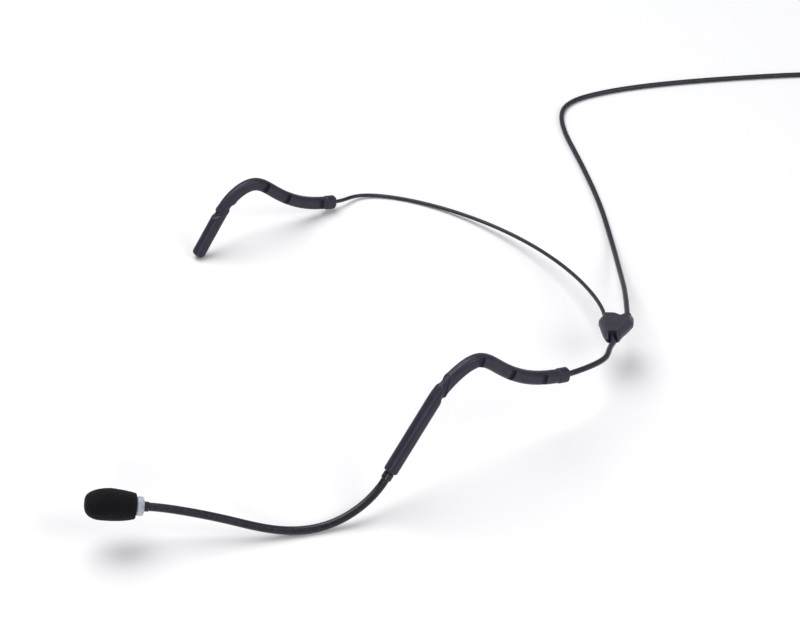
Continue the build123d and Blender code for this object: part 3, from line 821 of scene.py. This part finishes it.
def rounded_outline(corners, rounds):
    """Closed outline with its corners cut back and smoothed, the same number of points for each."""
    points = np.array(corners, float)
    result = []
    for k, corner in enumerate(points):
        before = points[k - 1] - corner
        after = points[(k + 1) % len(points)] - corner
        cut = min(rounds, 0.42 * np.linalg.norm(before), 0.42 * np.linalg.norm(after))
        first = corner + before / np.linalg.norm(before) * cut
        last = corner + after / np.linalg.norm(after) * cut
        for t in np.linspace(0, 1, 7):
            result.append((1 - t) ** 2 * first + 2 * t * (1 - t) * corner + t * t * last)
    return np.array(result)


def case_half(name, up):
    """Half of the case in the junction's own frame: seam groove, wall, wide bevel and flat face."""
    outer = rounded_outline(JUNCTION_OUTLINE, JUNCTION_ROUND)
    face = rounded_outline(JUNCTION_TOP, JUNCTION_ROUND)
    centre = face.mean(axis=0)
    high = JUNCTION_HALF_HEIGHT
    seam = outer * 0.985 + centre * 0.015
    wall = 0.28 * high
    levels = [(seam, 0.0), (seam, 0.08), (outer, 0.16), (outer, wall),
              (outer * 0.97 + face * 0.03, wall + 0.08), (outer * 0.06 + face * 0.94, high - 0.07),
              (face, high - 0.015), (face * 0.96 + centre * 0.04, high)]
    for share in (0.7, 0.4, 0.1):
        levels.append((face * share + centre * (1 - share), high))
    return skin(name, [[(x, y, z if up else -z) for x, y in outline] for outline, z in levels])


def mouth_cutter(name):
    """Block with rounded edges that leaves the notch in the case's narrow end, open to the top."""
    low = Vector(MOUTH_LOW)
    high = Vector(MOUTH_HIGH)
    work = bmesh.new()
    bmesh.ops.create_cube(work, size=1.0)
    for corner in work.verts:
        corner.co = (low + high) / 2 + corner.co * (high - low)
    bmesh.ops.bevel(work, geom=work.edges[:], offset=0.3, segments=3, affect="EDGES")
    mesh = bpy.data.meshes.new(name)
    work.to_mesh(mesh)
    work.free()
    cutter = bpy.data.objects.new(name, mesh)
    bpy.context.scene.collection.objects.link(cutter)
    return cutter


def make_case_half(name, up, material, node):
    """Half of the case with the notch cut out of it, put down in the row frame."""
    half = case_half(name, up)
    cutter = mouth_cutter(name + "_mouth")
    modifier = half.modifiers.new("mouth", "BOOLEAN")
    modifier.object = cutter
    modifier.operation = "DIFFERENCE"
    modifier.solver = "EXACT"
    bpy.context.view_layer.update()
    depsgraph = bpy.context.evaluated_depsgraph_get()
    solved = bpy.data.meshes.new_from_object(half.evaluated_get(depsgraph))
    half.modifiers.clear()
    half.data = solved
    bpy.data.objects.remove(cutter)
    for vertex in solved.vertices:
        vertex.co = Vector(at_rest(junction_point(*vertex.co)))
    solved.update()
    finish_piece(half, material, "junction", node, node)


def make_junction(mats):
    make_case_half("case_cover", True, mats["case"], "junction_cover")
    make_case_half("case_base", False, mats["case"], "junction_base")


# ---------------------------------------------------------------- plug and tie

def from_row(points):
    """Millimetres of the row frame as metres."""
    return np.asarray(points, float) * MM


def make_boot(mats):
    """Ribbed bend relief behind the plug."""
    rear = -7.0
    front = 3.0
    bore = 1.0
    rib_depth = 0.16
    rib_pitch = 1.35
    heights = np.linspace(rear, front, 121)
    radii = 1.5 + 0.9 * smoothstep(heights, rear, 1.5)
    ribs = np.where(heights < 1.0, rib_depth * (np.sin(heights * 2 * math.pi / rib_pitch) > 0), 0.0)
    outline = np.stack([radii - ribs, heights], axis=1)
    outline = np.concatenate([[(bore, rear)], outline, [(bore, front)]])
    thing = lathe("plug_relief", outline, PLUG_BASE, (0, -1, 0), place=from_row)
    finish_piece(thing, mats["boot"], "junction", "plug_boot", "plug_boot")
    return thing


def make_tie(mats):
    """Hook and loop strap once round the coil, its free end lapped over its start."""
    count = 90
    share = np.linspace(0, 1, count)
    angle = math.radians(60) + share * 2 * math.pi * 1.16
    radius = TIE_RADIUS + 0.34 * smoothstep(share, 0.80, 0.90)
    section = [(-2.0, 0.08), (-1.85, 0.0), (1.85, 0.0), (2.0, 0.08),
               (2.0, 0.24), (1.85, 0.32), (-1.85, 0.32), (-2.0, 0.24)]
    rings = []
    for a, r in zip(angle, radius):
        ring = []
        for x, thick in section:
            reach = r + thick
            y = COIL_CENTRE[1] - COIL_RADIUS + reach * math.cos(a)
            ring.append((COIL_CENTRE[0] + x, y, COIL_CENTRE[2] + reach * math.sin(a)))
        rings.append(ring)
    thing = skin("coil_strap", from_row(np.array(rings)))
    finish_piece(thing, mats["strap"], "junction", "coil_tie", "coil_tie")
    return thing


# ---------------------------------------------------------------- the model

NODE_MATERIALS = {
    "junction_screw": "steel", "cable_collar": "case",
    "holder_liner": "black_metal", "boom_stem": "black_metal", "boom_collar": "sleeve",
    "boom_core_1": "steel", "boom_core_2": "steel", "boom_core_3": "steel",
    "left_spring_wire": "steel", "right_spring_wire": "steel",
    "mic_tail_sleeve": "sleeve", "capsule_housing": "black_metal", "electret_capsule": "nickel",
    "capsule_gasket": "boot", "capsule_grille": "nickel",
    "plug_barrel": "black_metal", "locking_nut": "nickel",
    "plug_sleeve_contact": "gold", "plug_ring_contact": "gold", "plug_tip_contact": "gold",
    "plug_insulator_1": "insulator", "plug_insulator_2": "insulator",
}


def main():
    make_camera()
    mats = make_materials()
    make_studio()
    cord = make_cable(mats["cable"])
    boot = make_boot(mats)
    tie = make_tie(mats)
    for node, material in NODE_MATERIALS.items():
        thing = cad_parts[node]
        thing.data.materials.clear()
        thing.data.materials.append(mats[material])
    make_hooks(mats)
    make_neckband(mats)
    make_boom(mats)
    make_foam(mats["foam"])
    make_ring(mats["silicone"])
    make_junction(mats)


main()
